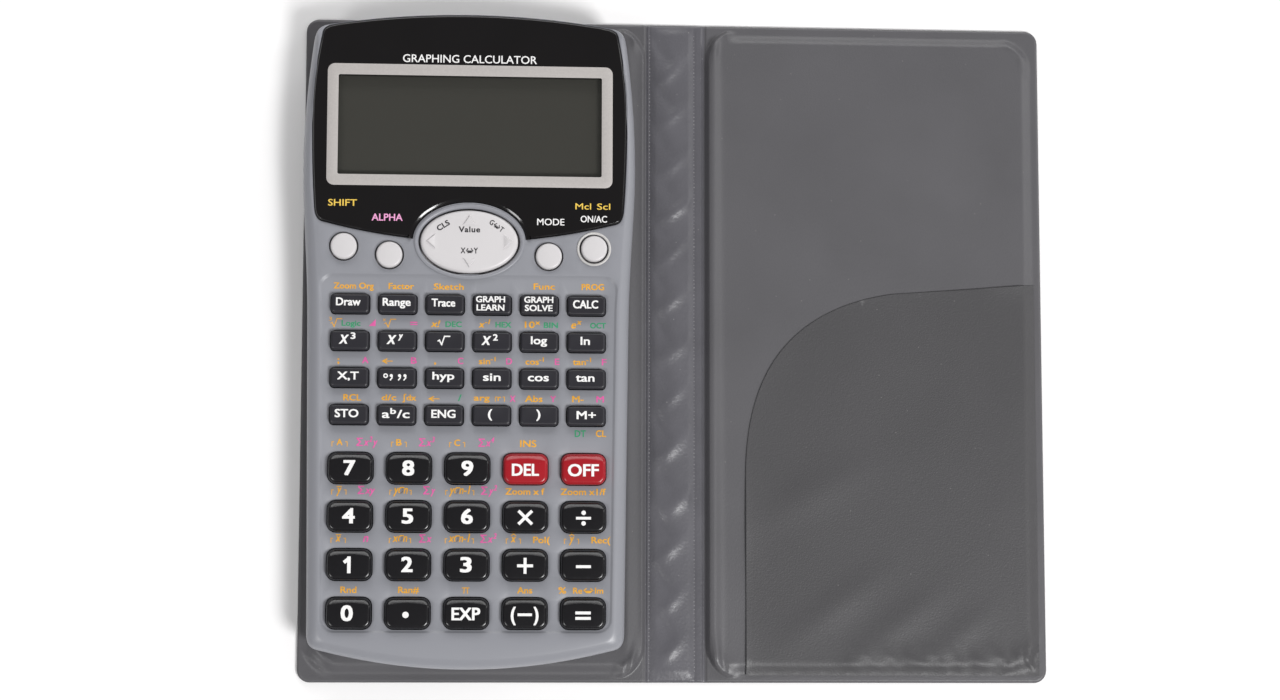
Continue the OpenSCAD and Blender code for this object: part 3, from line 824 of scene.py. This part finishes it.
# What is printed on the case for each key: colour, text, offset across and up, capital height, width
CASE_LABELS = [
    ("draw", "orange", "Zoom Org", 0.7, 3.6, 1.45, 9.3), ("range", "orange", "Factor", 0.75, 3.6, 1.45, 5.9),
    ("trace", "orange", "Sketch", 0.8, 3.6, 1.45, 7.0), ("solve", "orange", "Func", 1.1, 3.85, 1.45, 5.0),
    ("calc", "orange", "PROG", 1.5, 3.85, 1.45, 5.3),
    ("cube", "green", "Logic", 0.2, 3.5, 1.3, 4.4), ("root", "orange", "x!", -2.2, 3.4, 1.6, 2.2),
    ("root", "green", "DEC", 2.0, 3.45, 1.3, 3.8), ("square", "orange", "x^-1", -1.8, 3.4, 1.6, 2.7),
    ("square", "green", "HEX", 2.6, 3.45, 1.3, 3.7), ("log", "orange", "10^x", -1.6, 3.4, 1.55, 3.6),
    ("log", "green", "BIN", 2.7, 3.45, 1.3, 3.3), ("ln", "orange", "e^x", -2.3, 3.4, 1.8, 2.5),
    ("ln", "green", "OCT", 2.75, 3.45, 1.3, 3.7), ("power", "pink", "=", 3.75, 3.4, 1.6, 1.7),
    ("xt", "orange", ";", -2.6, 3.4, 1.6, 0.5), ("xt", "pink", "A", 3.6, 3.4, 1.5, 1.5),
    ("dms", "orange", "←", -2.3, 3.35, 1.3, 2.5), ("dms", "pink", "B", 3.85, 3.4, 1.5, 1.4),
    ("hyp", "orange", ",", -2.2, 3.4, 1.6, 0.5), ("hyp", "pink", "C", 3.7, 3.4, 1.5, 1.3),
    ("sin", "orange", "sin^-1", -1.1, 3.4, 1.45, 3.9), ("sin", "pink", "D", 4.0, 3.4, 1.5, 1.4),
    ("cos", "orange", "cos^-1", -1.05, 3.4, 1.45, 4.3), ("cos", "pink", "E", 4.2, 3.4, 1.5, 1.1),
    ("tan", "orange", "tan^-1", -1.0, 3.4, 1.45, 4.3), ("tan", "pink", "F", 4.2, 3.4, 1.5, 1.1),
    ("sto", "orange", "RCL", 0.7, 3.3, 1.5, 4.1), ("fraction", "orange", "d/c", -1.8, 3.4, 1.4, 3.4),
    ("fraction", "orange", "∫dx", 2.9, 3.4, 1.4, 3.2), ("eng", "orange", "←", -2.4, 3.25, 1.3, 2.6),
    ("eng", "green", "/", 3.6, 3.4, 1.5, 0.8), ("open", "orange", "arg", -2.3, 3.5, 1.4, 3.7),
    ("open", "orange", "r", 1.75, 3.5, 1.4, 0.8), ("open", "pink", "X", 4.9, 3.3, 1.45, 1.3),
    ("close", "orange", "Abs", -1.2, 3.3, 1.5, 4.1), ("close", "pink", "Y", 3.3, 3.3, 1.45, 1.3),
    ("mplus", "orange", "M-", -1.9, 3.3, 1.5, 2.7), ("mplus", "pink", "M", 3.3, 3.3, 1.5, 1.8),
    ("mplus", "green", "DT", -1.3, -4.8, 1.55, 2.6), ("mplus", "orange", "CL", 3.5, -4.75, 1.55, 2.4),
    ("del", "orange", "INS", 0.6, 5.1, 1.6, 3.8),
    ("times", "orange", "Zoom x f", -0.1, 5.15, 1.5, 9.1),
    ("divide", "orange", "Zoom x1/f", -0.05, 5.15, 1.5, 10.5),
    ("plus", "orange", "Pol(", 3.8, 5.1, 1.5, 3.9), ("minus", "orange", "Rec(", 4.1, 5.1, 1.5, 4.4),
    ("0", "orange", "Rnd", -0.1, 4.6, 1.5, 3.7), ("point", "orange", "Ran#", 0.2, 4.6, 1.5, 4.8),
    ("negative", "orange", "Ans", 0.0, 4.6, 1.5, 3.5),
    ("equals", "orange", "%", -4.8, 4.6, 1.5, 1.8), ("equals", "orange", "Re↔Im", 1.2, 4.6, 1.4, 7.0),
]
# The statistics label above a number key: what stands between its brackets, its accent, where its middle
# is and how wide it is, and then the sum beside it: its text, where it starts and how wide it is
STATISTICS = [
    ("7", "A", None, -2.6, 1.4, "x^2^y", 1.25, 3.2), ("8", "B", None, -2.4, 1.3, "x^3", 2.2, 2.0),
    ("9", "C", None, -2.4, 1.4, "x^4", 2.5, 2.0),
    ("4", "y", "bar", -2.6, 1.2, "xy", 1.7, 2.3), ("5", "yσn", None, -1.9, 3.4, "y", 3.3, 1.1),
    ("6", "yσn-1", None, -1.7, 5.0, "y^2", 3.2, 2.0),
    ("1", "x", "bar", -2.6, 1.2, "n", 2.6, 1.3), ("2", "xσn", None, -1.9, 3.4, "x", 2.5, 1.2),
    ("3", "xσn-1", None, -1.7, 5.0, "x^2", 3.1, 2.1),
    ("plus", "x", "hat", -2.7, 1.2, None, 0, 0), ("minus", "y", "hat", -2.7, 1.2, None, 0, 0),
]
# How much bolder than the font each kind of lettering is
FUNCTION_BOLD = 0.07
NUMBER_BOLD = 0.17
WORD_BOLD = 0.11
LABEL_BOLD = 0.05


def print_legends():
    for name in FUNCTION_KEYS + NUMBER_KEYS:
        x0, y0 = CENTRES[name]
        number = name in NUMBER_KEYS
        top = number_top(name) if number else function_top(name)
        bold = NUMBER_BOLD if name.isdigit() else WORD_BOLD if number else FUNCTION_BOLD
        shape = on_case()
        if name in LEGENDS:
            text, cap, width, dx, dy = LEGENDS[name]
            write(shape, text, x0 + dx, y0 + dy, cap, top, width, bold=bold)
        thick, lines = STROKES.get(name, (0, []))
        for layer, line in enumerate(lines):
            stroke(shape, [(x0 + x, y0 + y) for x, y in line], thick, top, layer)
        for x, y, radius in DISCS.get(name, []):
            disc(shape, x0 + x, y0 + y, radius, top)
        if name in ("learn", "solve"):
            dx = -0.45 if name == "learn" else -0.2
            write(shape, "GRAPH", x0 + dx, y0 + 0.55, 1.45, top, 6.8, bold=0.06)
            write(shape, name.upper(), x0 + dx, y0 - 1.4, 1.45, top, 6.5, bold=0.06)
        if name in ("cube", "power", "square"):
            mark, up = {"cube": ("3", 0.3), "power": ("y", 0.45), "square": ("2", 0.2)}[name]
            write(shape, "x", x0 - 1.35, y0 - 0.85, 3.2, top, 2.3, slant=0.25, bold=0.05)
            write(shape, mark, x0 + 0.75, y0 + up, 1.5, top, 1.15, slant=0.2 if mark == "y" else 0, bold=0.07)
        if name == "root":
            root_sign(shape, x0 - 0.3, y0 + 0.1, 0.95, top, 0.3)
        if name == "dms":
            ring_mark(shape, x0 - 2.6, y0 + 0.4, 0.4, top)
            for dx in (-1.3, 0.6, 1.85):
                comma(shape, x0 + dx, y0 + 0.3, top)
        if name == "negative":
            write(shape, "(", x0 - 2.65, y0 - 1.7, 3.2, top, 1.15, bold=0.12)
            write(shape, ")", x0 + 2.6, y0 - 1.7, 3.2, top, 1.15, bold=0.12)
        piece = shape.make("legend_" + name, INKS["white"], "print_white", sharp=30)
        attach(piece, "key_" + name)


def disc(shape, x, y, radius, surface, count=20):
    outline = ellipse(radius, radius, x, y, count)
    low = shape.ring(outline, lambda u, v: surface(u, v) - 0.01)
    high = shape.ring(outline, lambda u, v: surface(u, v) + INK_T)
    shape.skin(low, high)
    shape.patch(high, lambda u, v: surface(u, v) + INK_T)
    shape.patch(low, surface, down=True)


def ring_mark(shape, x, y, radius, surface):
    """A small round degree sign."""
    outline = ellipse(radius, radius, x, y, 14)
    stroke(shape, outline + outline[:1], 0.26, surface)


def comma(shape, x, y, surface):
    disc(shape, x, y + 0.15, 0.36, surface, 14)
    stroke(shape, [(x + 0.22, y + 0.1), (x + 0.16, y - 0.4), (x - 0.2, y - 0.85)], 0.3, surface)


def root_sign(shape, x, y, scale, surface, width):
    line = [(-1.3, -0.1), (-1.0, 0.1), (-0.45, -1.0), (0.25, 1.05), (1.5, 1.05)]
    stroke(shape, [(x + u * scale, y + v * scale) for u, v in line], width, surface)


def print_case():
    field = lambda x, y: FIELD_Z
    shapes = {ink: on_case() for ink in ("orange", "pink", "green")}
    for name, ink, text, dx, dy, cap, width in CASE_LABELS:
        x0, y0 = CENTRES[name]
        slant = 0.25 if text in ("x!", "x^-1", "e^x") else 0
        write(shapes[ink], text, x0 + dx, y0 + dy, cap, field, width, slant=slant, bold=LABEL_BOLD)
    for name, mark, dx in (("cube", "3", -3.3), ("power", "x", -1.8)):
        x0, y0 = CENTRES[name]
        root_sign(shapes["orange"], x0 + dx, y0 + 4.2, 0.9, field, 0.2)
        write(shapes["orange"], mark, x0 + dx - 1.3, y0 + 4.7, 0.85, field, 0.7)
    x0, y0 = CENTRES["exp"]
    pi_lines = [[(-0.9, 5.85), (0.6, 5.85)], [(-0.45, 5.85), (-0.55, 4.65)], [(0.2, 5.85), (0.3, 4.65)]]
    for layer, line in enumerate(pi_lines):
        stroke(shapes["orange"], [(x0 + x, y0 + y) for x, y in line], 0.22, field, layer)
    x0, y0 = CENTRES["cube"]
    wedge(shapes["pink"], [(x0 + 4.3, y0 + 3.5), (x0 + 5.9, y0 + 3.5), (x0 + 5.9, y0 + 5.1)], field)
    x0, y0 = CENTRES["open"]
    bracket(shapes["orange"], x0 + 0.85, y0 + 3.4, -1, field)
    bracket(shapes["orange"], x0 + 3.0, y0 + 3.4, 1, field)
    for name, text, accent, dx, wide, total, start, spread_w in STATISTICS:
        x0, y0 = CENTRES[name]
        middle = x0 + dx
        latin = text[0] in "xy"
        gap = wide / 2 + (0.75 if len(text) > 1 else 1.05)
        write(shapes["orange"], text, middle, y0 + 5.25, 1.95 if latin else 1.5, field, wide,
              slant=0.25 if latin else 0, bold=LABEL_BOLD)
        bracket(shapes["orange"], middle - gap, y0 + 5.05, -1, field)
        bracket(shapes["orange"], middle + gap, y0 + 5.05, 1, field)
        if accent:
            bend = 0.35 if accent == "hat" else 0
            line = [(middle - 0.45, y0 + 6.85), (middle + 0.05, y0 + 6.85 + bend), (middle + 0.55, y0 + 6.85)]
            stroke(shapes["orange"], line, 0.2, field)
        if total == "n":
            write(shapes["pink"], total, x0 + 3.7, y0 + 5.2, 2.0, field, 1.3, slant=0.25, bold=LABEL_BOLD)
        elif total:
            write(shapes["pink"], "Σ", x0 + start + 0.75, y0 + 5.1, 1.8, field, 1.5, bold=LABEL_BOLD)
            write(shapes["pink"], total, x0 + start + 1.7 + spread_w / 2, y0 + 5.2, 1.75, field, spread_w,
                  slant=0.25, bold=LABEL_BOLD)
    for ink, shape in shapes.items():
        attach(shape.make("case_print_" + ink, INKS[ink], "print_" + ink, sharp=30), "calculator")

    gloss = lambda x, y: PANEL_Z
    labels = [
        ("yellow", "SHIFT", -29.6, 30.55, 1.55, 6.7, 0.03), ("yellow", "Mcl", 26.6, 30.4, 1.45, 3.7, 0.02),
        ("yellow", "Scl", 31.4, 30.4, 1.45, 3.1, 0.02), ("blush", "ALPHA", -19.2, 27.15, 1.65, 7.2, 0.04),
        ("white", "MODE", 19.0, 26.55, 1.55, 6.4, 0.02), ("white", "ON/AC", 29.1, 27.35, 1.55, 6.2, 0.03),
        ("white", "GRAPHING CALCULATOR", -0.2, 64.95, 1.85, 31.5, 0.02),
    ]
    shapes = {ink: on_case() for ink in ("white", "yellow", "blush")}
    for ink, text, x, y, cap, width, bold in labels:
        write(shapes[ink], text, x, y, cap, gloss, width, bold=bold)
    names = {"white": "print_white", "yellow": "print_yellow", "blush": "print_pink"}
    for ink, shape in shapes.items():
        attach(shape.make("panel_print_" + ink, INKS[ink], names[ink], sharp=30), "calculator")

    words = on_case()
    write(words, "Value", 0, PAD_Y + 2.1, 1.35, pad_top, 5.0, bold=0.05, spacing=1.1)
    write(words, "X↔Y", 0, PAD_Y - 2.9, 1.35, pad_top, 4.0, bold=0.03)
    write(words, "CLS", -5.8, PAD_Y + 3.1, 1.3, pad_top, 3.2, turn=32, bold=0.05)
    write(words, "G↔T", 6.0, PAD_Y + 3.2, 1.25, pad_top, 3.7, turn=-35, bold=0.03)
    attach(words.make("pad_print", INKS["black"], "print_black", sharp=30), "cursor_pad")


def wedge(shape, corners, surface):
    """A filled triangle of ink, its corners anticlockwise."""
    low = shape.ring(corners, surface)
    high = shape.ring(corners, lambda x, y: surface(x, y) + INK_T)
    shape.skin(low, high)
    shape.faces.append(tuple(high))
    shape.faces.append(tuple(low[::-1]))


def bracket(shape, x, y, side, surface):
    """One small corner bracket: side is -1 for the opening one and 1 for the closing one."""
    stroke(shape, [(x - side * 0.35, y + 1.0), (x, y + 1.0), (x, y)], 0.17, surface)


# ---- The wallet ----

WALLET_X = 88.4
WALLET_Y = 78.75
EDGE_Z = 0.42
WELD_Z = 0.7
PAD_Z = 1.8
CORNER_R = 3.0
# The raised pad of each half: where it starts and ends across, its half height and its corner radius
PAD_BOX = (9.0, 86.1, 76.3, 6.5)
# The welded lines on both sides of the spine
LEFT_WELD = -6.2
RIGHT_WELD = 4.5


def smooth(t):
    t = min(1, max(0, t))
    return t * t * (3 - 2 * t)


def rounded_depth(x, y, cx, cy, hw, hh, r):
    """How deep a point lies inside a rectangle with round corners: negative outside it."""
    qx = abs(x - cx) - hw + r
    qy = abs(y - cy) - hh + r
    return r - math.hypot(max(qx, 0), max(qy, 0)) - min(max(qx, qy), 0)


def fold(x, y, cx, cy, turn, length, width, height):
    """The height that one soft crease adds: a ridge of a length, turned by an angle."""
    dx = x - cx
    dy = y - cy
    if abs(dx) > length * 2.4 or abs(dy) > length * 2.4:
        return 0
    c = math.cos(math.radians(turn))
    s = math.sin(math.radians(turn))
    u = (dx * c + dy * s) / length
    v = (-dx * s + dy * c) / width
    return height * math.exp(-u * u - v * v)


# Creases: ridges and hollows across the spine, and where the welds pucker at the ends of the pads. Each is
# the x and y of its middle, the angle it is turned by, its length, its width and its height.
SPINE_FOLDS = []
spine_y = -71.0
while spine_y < 70:
    SPINE_FOLDS.append((random.uniform(-1.2, 0.8), spine_y, random.uniform(32, 50),
                        random.uniform(3.2, 4.8), random.uniform(1.1, 1.6), random.uniform(0.45, 0.75)))
    spine_y += random.uniform(4.8, 6.6)
    SPINE_FOLDS.append((random.uniform(-4.0, -2.6), spine_y, random.uniform(-64, -48),
                        random.uniform(3.0, 4.4), random.uniform(1.2, 1.7), random.uniform(-0.5, -0.34)))
    spine_y += random.uniform(4.8, 7.2)
LEFT_FOLDS = [
    (-10.2, -73.6, 78, 3.2, 0.8, 0.75), (-12.4, -75.0, 50, 2.4, 0.7, 0.4), (-84.4, -74.0, 135, 3.2, 0.9, 0.6),
    (-82.6, -72.2, 140, 3.4, 0.9, 0.5), (-10.0, 74.4, 100, 2.6, 0.8, 0.5), (-84.0, 75.0, 45, 2.6, 0.8, 0.5),
]
RIGHT_FOLDS = [
    (10.2, -73.4, 96, 3.4, 0.8, 0.7), (12.8, -74.6, 130, 2.6, 0.8, 0.45), (84.6, -74.6, -52, 2.2, 0.6, 0.6),
    (84.8, -70.4, 62, 3.0, 0.8, 0.4), (82.6, 73.4, 138, 3.4, 0.9, 0.45), (84.6, 70.4, 118, 3.0, 0.8, 0.3),
    (79.5, -74.8, 20, 3.0, 0.8, 0.3), (10.0, 74.2, 84, 2.6, 0.8, 0.45),
]


def spine_height(x, y):
    """The spine: a slack band between two welded lines, nearer to the left pad than to the right one."""
    middle = (LEFT_WELD + RIGHT_WELD) / 2
    half = (RIGHT_WELD - LEFT_WELD) / 2
    end = smooth((WALLET_Y - abs(y)) / 3.0)
    band = smooth((half - abs(x - middle)) / 1.6) * end
    height = 0.72 + 0.2 * band + 0.45 * band * math.cos((x - middle) / half * math.pi / 2)
    height += band * sum(fold(x, y, *crease) for crease in SPINE_FOLDS)
    for weld in (LEFT_WELD, RIGHT_WELD):
        height -= 0.14 * math.exp(-((x - weld) / 0.3) ** 2)
    return EDGE_Z + (height - EDGE_Z) * smooth((x + 7.0) / 0.6) * smooth((6.7 - x) / 0.6)


def skin_height(x, y):
    """The upper side of the open wallet at any point of it."""
    across = abs(x)
    if across < 7:
        height = spine_height(x, y)
    else:
        x0, x1, hh, r = PAD_BOX
        depth = rounded_depth(across, y, (x0 + x1) / 2, 0, (x1 - x0) / 2, hh, r)
        rise = smooth((depth + 0.6) / 2.8)
        if across < 14:
            rise = smooth((depth + 2) / 1.1)
        ground = EDGE_Z + (WELD_Z - EDGE_Z) * smooth((across - 7.1) / 0.5)
        height = ground + (PAD_Z - ground) * rise
        narrow = smooth((77 - abs(y)) / 12)
        if x > 0:
            ridge = 1.0 * math.exp(-((across - 9.0 - 0.3 * (1 - narrow)) / (0.7 + 0.8 * narrow)) ** 2)
        else:
            ridge = 0.3 * math.exp(-((across - 11.6) / 1.5) ** 2) - 0.35 * smooth((11.4 - across) / 3.2)
        height += ridge * rise * smooth((77.6 - abs(y)) / 5)
        folds = RIGHT_FOLDS if x > 0 else LEFT_FOLDS
        height += sum(fold(x, y, *crease) for crease in folds) * smooth((depth + 2.2) / 1.6)
        if depth > 4:
            wave = math.sin(x / 13.0 + 1.3 * math.sin(y / 31.0)) * math.sin(y / 17.0 + x / 29.0)
            height += 0.09 * wave * smooth((depth - 4) / 8)
    edge = rounded_depth(x, y, 0, 0, WALLET_X, WALLET_Y, CORNER_R)
    return height * (0.35 + 0.65 * math.sqrt(min(1, max(0, edge) / 0.55)))


def spread(*stops):
    """Values from the first stop to the last, with each stretch cut into about equal steps."""
    values = [stops[0]]
    for step, end in zip(stops[1::2], stops[2::2]):
        count = max(1, round(abs(end - values[-1]) / step))
        start = values[-1]
        values += [start + (end - start) * (i + 1) / count for i in range(count)]
    return values


def build_skin(name, side, nodes):
    """One half of the wallet's vinyl: a pad and half of the spine. side is -1 for the left half."""
    across = spread(0, 0.3, 6.0, 0.15, 8.7, 0.25, 12.6, 1.4, 80.0, 0.35, 85.8, 0.25, 87.6, 0.13, WALLET_X)
    along = spread(-1, 0.0016, -0.985, 0.0036, -0.90, 0.0145, 0.90, 0.0036, 0.985, 0.0016, 1)
    shape = Shape()
    columns = []
    for x in across:
        corner = max(0, x - (WALLET_X - CORNER_R))
        reach = WALLET_Y - CORNER_R + math.sqrt(max(0, CORNER_R ** 2 - corner ** 2))
        column = []
        for t in along:
            shape.points.append((side * x, t * reach, skin_height(side * x, t * reach)))
            column.append(len(shape.points) - 1)
        columns.append(column)
    for left, right in zip(columns, columns[1:]):
        for i in range(len(along) - 1):
            face = (left[i], right[i], right[i + 1], left[i + 1])
            shape.faces.append(face if side > 0 else face[::-1])
    border = [column[0] for column in columns] + columns[-1][1:-1]
    border += [column[-1] for column in columns[::-1]] + columns[0][-2:0:-1]
    if side < 0:
        border = border[::-1]
    low = shape.ring([shape.points[i][:2] for i in border], 0)
    shape.skin(low, border)
    lines = [[(side * x, -WALLET_Y + 0.4), (side * x, WALLET_Y - 0.4)] for x in spread(6.6, 0.15, 8.4)]
    shape.patch(low, 0, lines=lines, down=True)
    piece = shape.make(name, vinyl, "wallet_vinyl", sharp=60)
    piece.data.materials.append(spine_vinyl)
    for polygon in piece.data.polygons:
        if abs(polygon.center.x) < 7.1 * MM:
            polygon.material_index = 1
    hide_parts(*nodes)
    if side > 0:
        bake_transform(piece)
    else:
        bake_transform(piece)
    return piece


def weld_marks():
    """The dotted lines that the welding bar leaves along both edges of the spine."""
    marks = Shape()
    for column in (LEFT_WELD, RIGHT_WELD):
        y = -76.0
        while y < 76.2:
            x = column + random.uniform(-0.05, 0.05)
            z = skin_height(x, y)
            rise = random.uniform(0.05, 0.09)
            size = random.uniform(0.1, 0.2)
            base = marks.ring([(x - size, y - size), (x + size, y - size), (x + size, y + size),
                               (x - size, y + size)], z - 0.03)
            crown = marks.ring([(x - size / 2, y - size / 2), (x + size / 2, y - size / 2),
                                (x + size / 2, y + size / 2), (x - size / 2, y + size / 2)], z + rise)
            marks.skin(base, crown)
            marks.faces.append(tuple(crown))
            marks.faces.append(tuple(base[::-1]))
            y += 0.9
    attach(marks.make("spine_weld_marks", weld_vinyl, "wallet_vinyl"), "spine")


POCKET_LEFT = 16.7
POCKET_RIGHT = 86.6
POCKET_TOP = 16.2
POCKET_BOTTOM = -77.0


def pocket_outline():
    """The pocket's sheet, anticlockwise from its lower left corner: its welded run and its free run."""
    left = POCKET_LEFT
    top = [(POCKET_RIGHT + (52 - POCKET_RIGHT) * i / 18, POCKET_TOP - 2.6 * i / 18) for i in range(18)]
    top += [bezier([(52, 13.6), (28, 10), (left, -5), (left, -30)], i / 34) for i in range(35)]
    low = [(left + (POCKET_RIGHT - left) * i / 46, POCKET_BOTTOM) for i in range(46)]
    right = [(POCKET_RIGHT, POCKET_BOTTOM + (POCKET_TOP - POCKET_BOTTOM) * i / 60) for i in range(60)]
    down = [(left, -30 + (POCKET_BOTTOM + 30) * i / 32) for i in range(1, 32)]
    return low + right, top + down


# Broad waves in the pocket's sheet, and the short puckers along its lower seam
POCKET_FOLDS = [
    (38, -61, 36, 12, 3.0, 0.34), (53, -65, 37, 12, 2.6, 0.34), (67, -68, 40, 9, 2.2, 0.32),
    (33, -34, 28, 12, 4, 0.3),
]
POCKET_FOLDS += [(x + random.uniform(-0.8, 0.8), random.uniform(-73.6, -72.6), random.uniform(48, 64),
                  random.uniform(1.8, 2.8), random.uniform(0.6, 0.9), random.uniform(0.3, 0.5))
                 for x in spread(41, 3.3, 84)]


def pocket_lift(x, y, free):
    """How far the sheet stands off the cover: its free edge lifts a little, in slow waves."""
    near = math.exp(-min(math.hypot(x - u, y - v) for u, v in free) / 2.5)
    gape = 0.12 + 0.35 * smooth((-12 - y) / 34) + 0.6 * smooth((x - 71) / 7) * smooth((85.8 - x) / 3)
    waves = sum(fold(x, y, *crease) for crease in POCKET_FOLDS)
    return 0.1 + waves + gape * near * (0.7 + 0.3 * math.sin(y / 6.0 + x / 9.0))


def build_pocket():
    welded, free = pocket_outline()
    outline = welded + free
    sheet = Shape()
    high = lambda x, y: skin_height(x, y) + pocket_lift(x, y, free) + 0.16
    low = lambda x, y: skin_height(x, y) + pocket_lift(x, y, free)
    top_ring = sheet.ring(outline, high)
    low_ring = sheet.ring(outline, low)
    sheet.skin(low_ring, top_ring)
    dots = [(x, y) for x in spread(18.5, 2.0, 81.0, 0.6, 86.0) for y in spread(-76.4, 0.6, -72.0, 2.0, 14.0)
            if inside(x, y, outline) and min(math.hypot(x - u, y - v) for u, v in outline) > 0.5]
    edge = [(POCKET_LEFT + 0.9, y) for y in spread(-76.0, 2.0, -30.0)]
    sheet.patch(top_ring, high, dots=dots + edge)
    sheet.patch(low_ring, low, dots=dots + edge, down=True)
    piece = sheet.make("pocket_sheet", pocket_vinyl, "wallet_vinyl", sharp=60)
    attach(piece, "cover")


# ---- What stays from the CAD ----

def finish_nodes():
    kept = {
        "rear_case": rear_plastic, "lcd_module": lcd_glass, "circuit_board": board_green,
        "keypad_rubber": rubber, "battery_cells": cell_steel, "case_screws": screw_steel,
    }
    for node, finish in kept.items():
        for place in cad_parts[node].material_slots:
            place.material = finish


# ---- Studio ----

def build_studio():
    floor = bpy.data.meshes.new("floor")
    floor.from_pydata([(-3, -3, 0), (3, -3, 0), (3, 3, 0), (-3, 3, 0)], [], [(0, 1, 2, 3)])
    floor.materials.append(material("floor_white", (250, 249, 249), 0.9, grain=300, bump=0.0, mottle=0.004,
                                    blotch=4, spread=0.02))
    ground = bpy.data.objects.new("floor", floor)
    ground.location.z = -0.0004
    bpy.context.scene.collection.objects.link(ground)

    world = bpy.data.worlds.new("studio")
    world.use_nodes = True
    world.node_tree.nodes["Background"].inputs["Color"].default_value = (1, 1, 1, 1)
    world.node_tree.nodes["Background"].inputs["Strength"].default_value = 0.2
    bpy.context.scene.world = world
    bpy.context.scene.view_settings.view_transform = "Standard"

    # Soft boxes: name, place, size and power, each aimed at the calculator
    boxes = [
        ("key_light", (0.52, -0.56, 0.92), (0.34, 0.34), 11.0),
        ("rear_light", (0.05, 0.95, 0.50), (1.4, 0.35), 6.5),
        ("left_light", (-0.64, -0.50, 0.86), (0.28, 0.28), 3.0),
        ("right_light", (1.05, 0.35, 0.55), (0.4, 0.9), 2.6),
    ]
    aim = Vector((-0.02, 0, 0))
    for name, place, size, power in boxes:
        lamp = bpy.data.lights.new(name, "AREA")
        lamp.shape = "RECTANGLE"
        lamp.size, lamp.size_y = size
        lamp.energy = power
        holder = bpy.data.objects.new(name, lamp)
        holder.location = place
        holder.rotation_euler = (aim - Vector(place)).to_track_quat("-Z", "Y").to_euler()
        bpy.context.scene.collection.objects.link(holder)


def build_camera():
    lens = bpy.data.cameras.new("camera")
    lens.lens = 75
    lens.sensor_width = 36
    lens.clip_start = 0.01
    camera = bpy.data.objects.new("camera", lens)
    camera.location = (-0.05183, -0.07107, 0.62972)
    camera.rotation_euler = [math.radians(angle) for angle in (6.4095, -3.9591, 0.0887)]
    bpy.context.scene.collection.objects.link(camera)
    bpy.context.scene.camera = camera


build_camera()
build_studio()
finish_nodes()
build_skin("wallet_back_skin", -1, ["wallet_back", "wallet_spine"])
build_skin("wallet_cover_skin", 1, ["wallet_cover", "wallet_spine"])
weld_marks()
build_pocket()
build_case()
build_display()
build_keys()
build_cursor_pad()
print_legends()
print_case()
